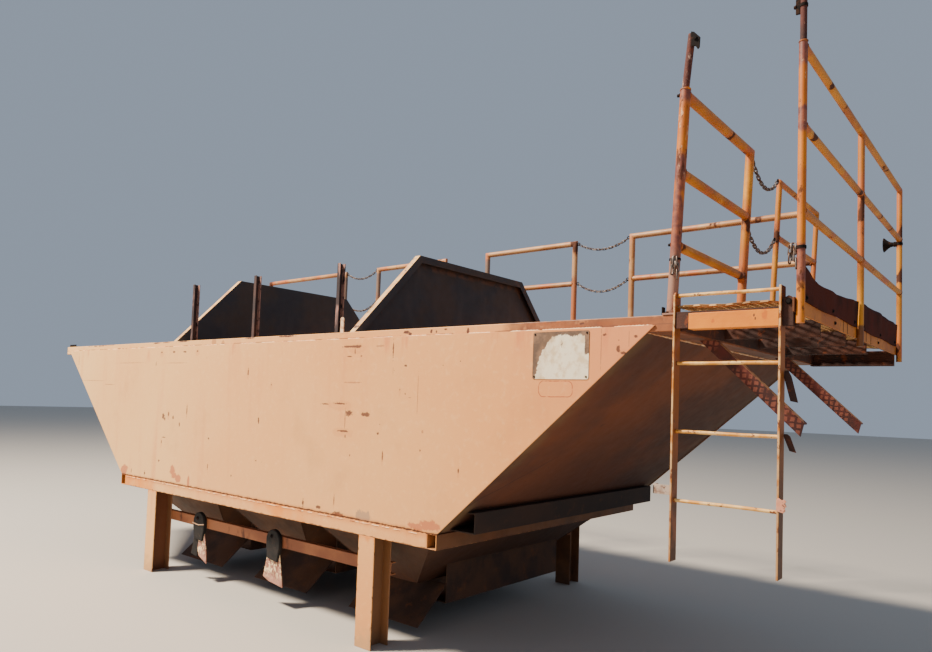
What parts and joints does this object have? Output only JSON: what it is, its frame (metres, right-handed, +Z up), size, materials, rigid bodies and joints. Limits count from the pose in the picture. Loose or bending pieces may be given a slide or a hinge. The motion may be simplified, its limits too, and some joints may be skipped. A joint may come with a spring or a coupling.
{
  "type": "cold feed bin",
  "caption": "Open-topped steel feed bin with raised dividers, hoppers and feeder pans on short legs, with pipe rails, a small grated platform and a ladder at one end.",
  "frame": {"origin": "on the ground, in the middle of the whole part's length and width", "axes": "+X along the bin towards the platform and ladder, +Y from the front wall to the back wall, +Z up"},
  "size_m": [7.0858, 2.44, 3.3],
  "materials": {
    "bin_paint": "faded paint with rust",
    "dark_plate": "weathered dark steel",
    "rail_paint": "worn paint with rust",
    "rusty_steel": "rusted",
    "belt_rubber": "worn",
    "hanger_paint": "flaking paint with rust"
  },
  "bodies": {
    "root": {"front_wall": "bin_paint", "back_wall": "bin_paint", "left_end_wall": "bin_paint", "right_end_wall": "bin_paint", "front_rim": "bin_paint", "back_rim": "bin_paint", "left_rim": "bin_paint", "right_rim": "bin_paint", "front_chord": "bin_paint", "back_chord": "bin_paint", "left_cross_tube": "bin_paint", "right_cross_tube": "bin_paint", "left_end_channel": "bin_paint", "right_end_channel": "bin_paint", "front_left_leg": "bin_paint", "front_right_leg": "bin_paint", "back_left_leg": "bin_paint", "back_right_leg": "bin_paint", "front_lower_beam": "bin_paint", "back_lower_beam": "bin_paint", "left_hopper_front": "bin_paint", "left_hopper_right": "bin_paint", "left_hopper_back": "bin_paint", "left_hopper_left": "bin_paint", "middle_hopper_front": "bin_paint", "middle_hopper_right": "bin_paint", "middle_hopper_back": "bin_paint", "middle_hopper_left": "bin_paint", "right_hopper_front": "bin_paint", "right_hopper_right": "bin_paint", "right_hopper_back": "bin_paint", "right_hopper_left": "bin_paint", "left_divider": "dark_plate", "right_divider": "dark_plate", "left_rim_post": "dark_plate", "middle_rim_post": "dark_plate", "right_rim_post": "dark_plate", "left_hanger": "hanger_paint", "right_hanger": "hanger_paint", "back_rail_far_left": "rail_paint", "back_rail_left": "rail_paint", "back_rail_right": "rail_paint", "back_rail_far_right": "rail_paint", "end_rail_front": "rail_paint", "end_rail_back": "rail_paint", "outer_rail": "rail_paint", "ladder": "rail_paint", "left_feeder_pan": "rusty_steel", "middle_feeder_pan": "rusty_steel", "right_feeder_pan": "rusty_steel", "platform_frame": "rusty_steel", "platform_grating": "rusty_steel", "front_brace": "rusty_steel", "rear_brace": "rusty_steel", "front_splash_belt": "belt_rubber", "rear_splash_belt": "belt_rubber"}
  },
  "joints": []
}
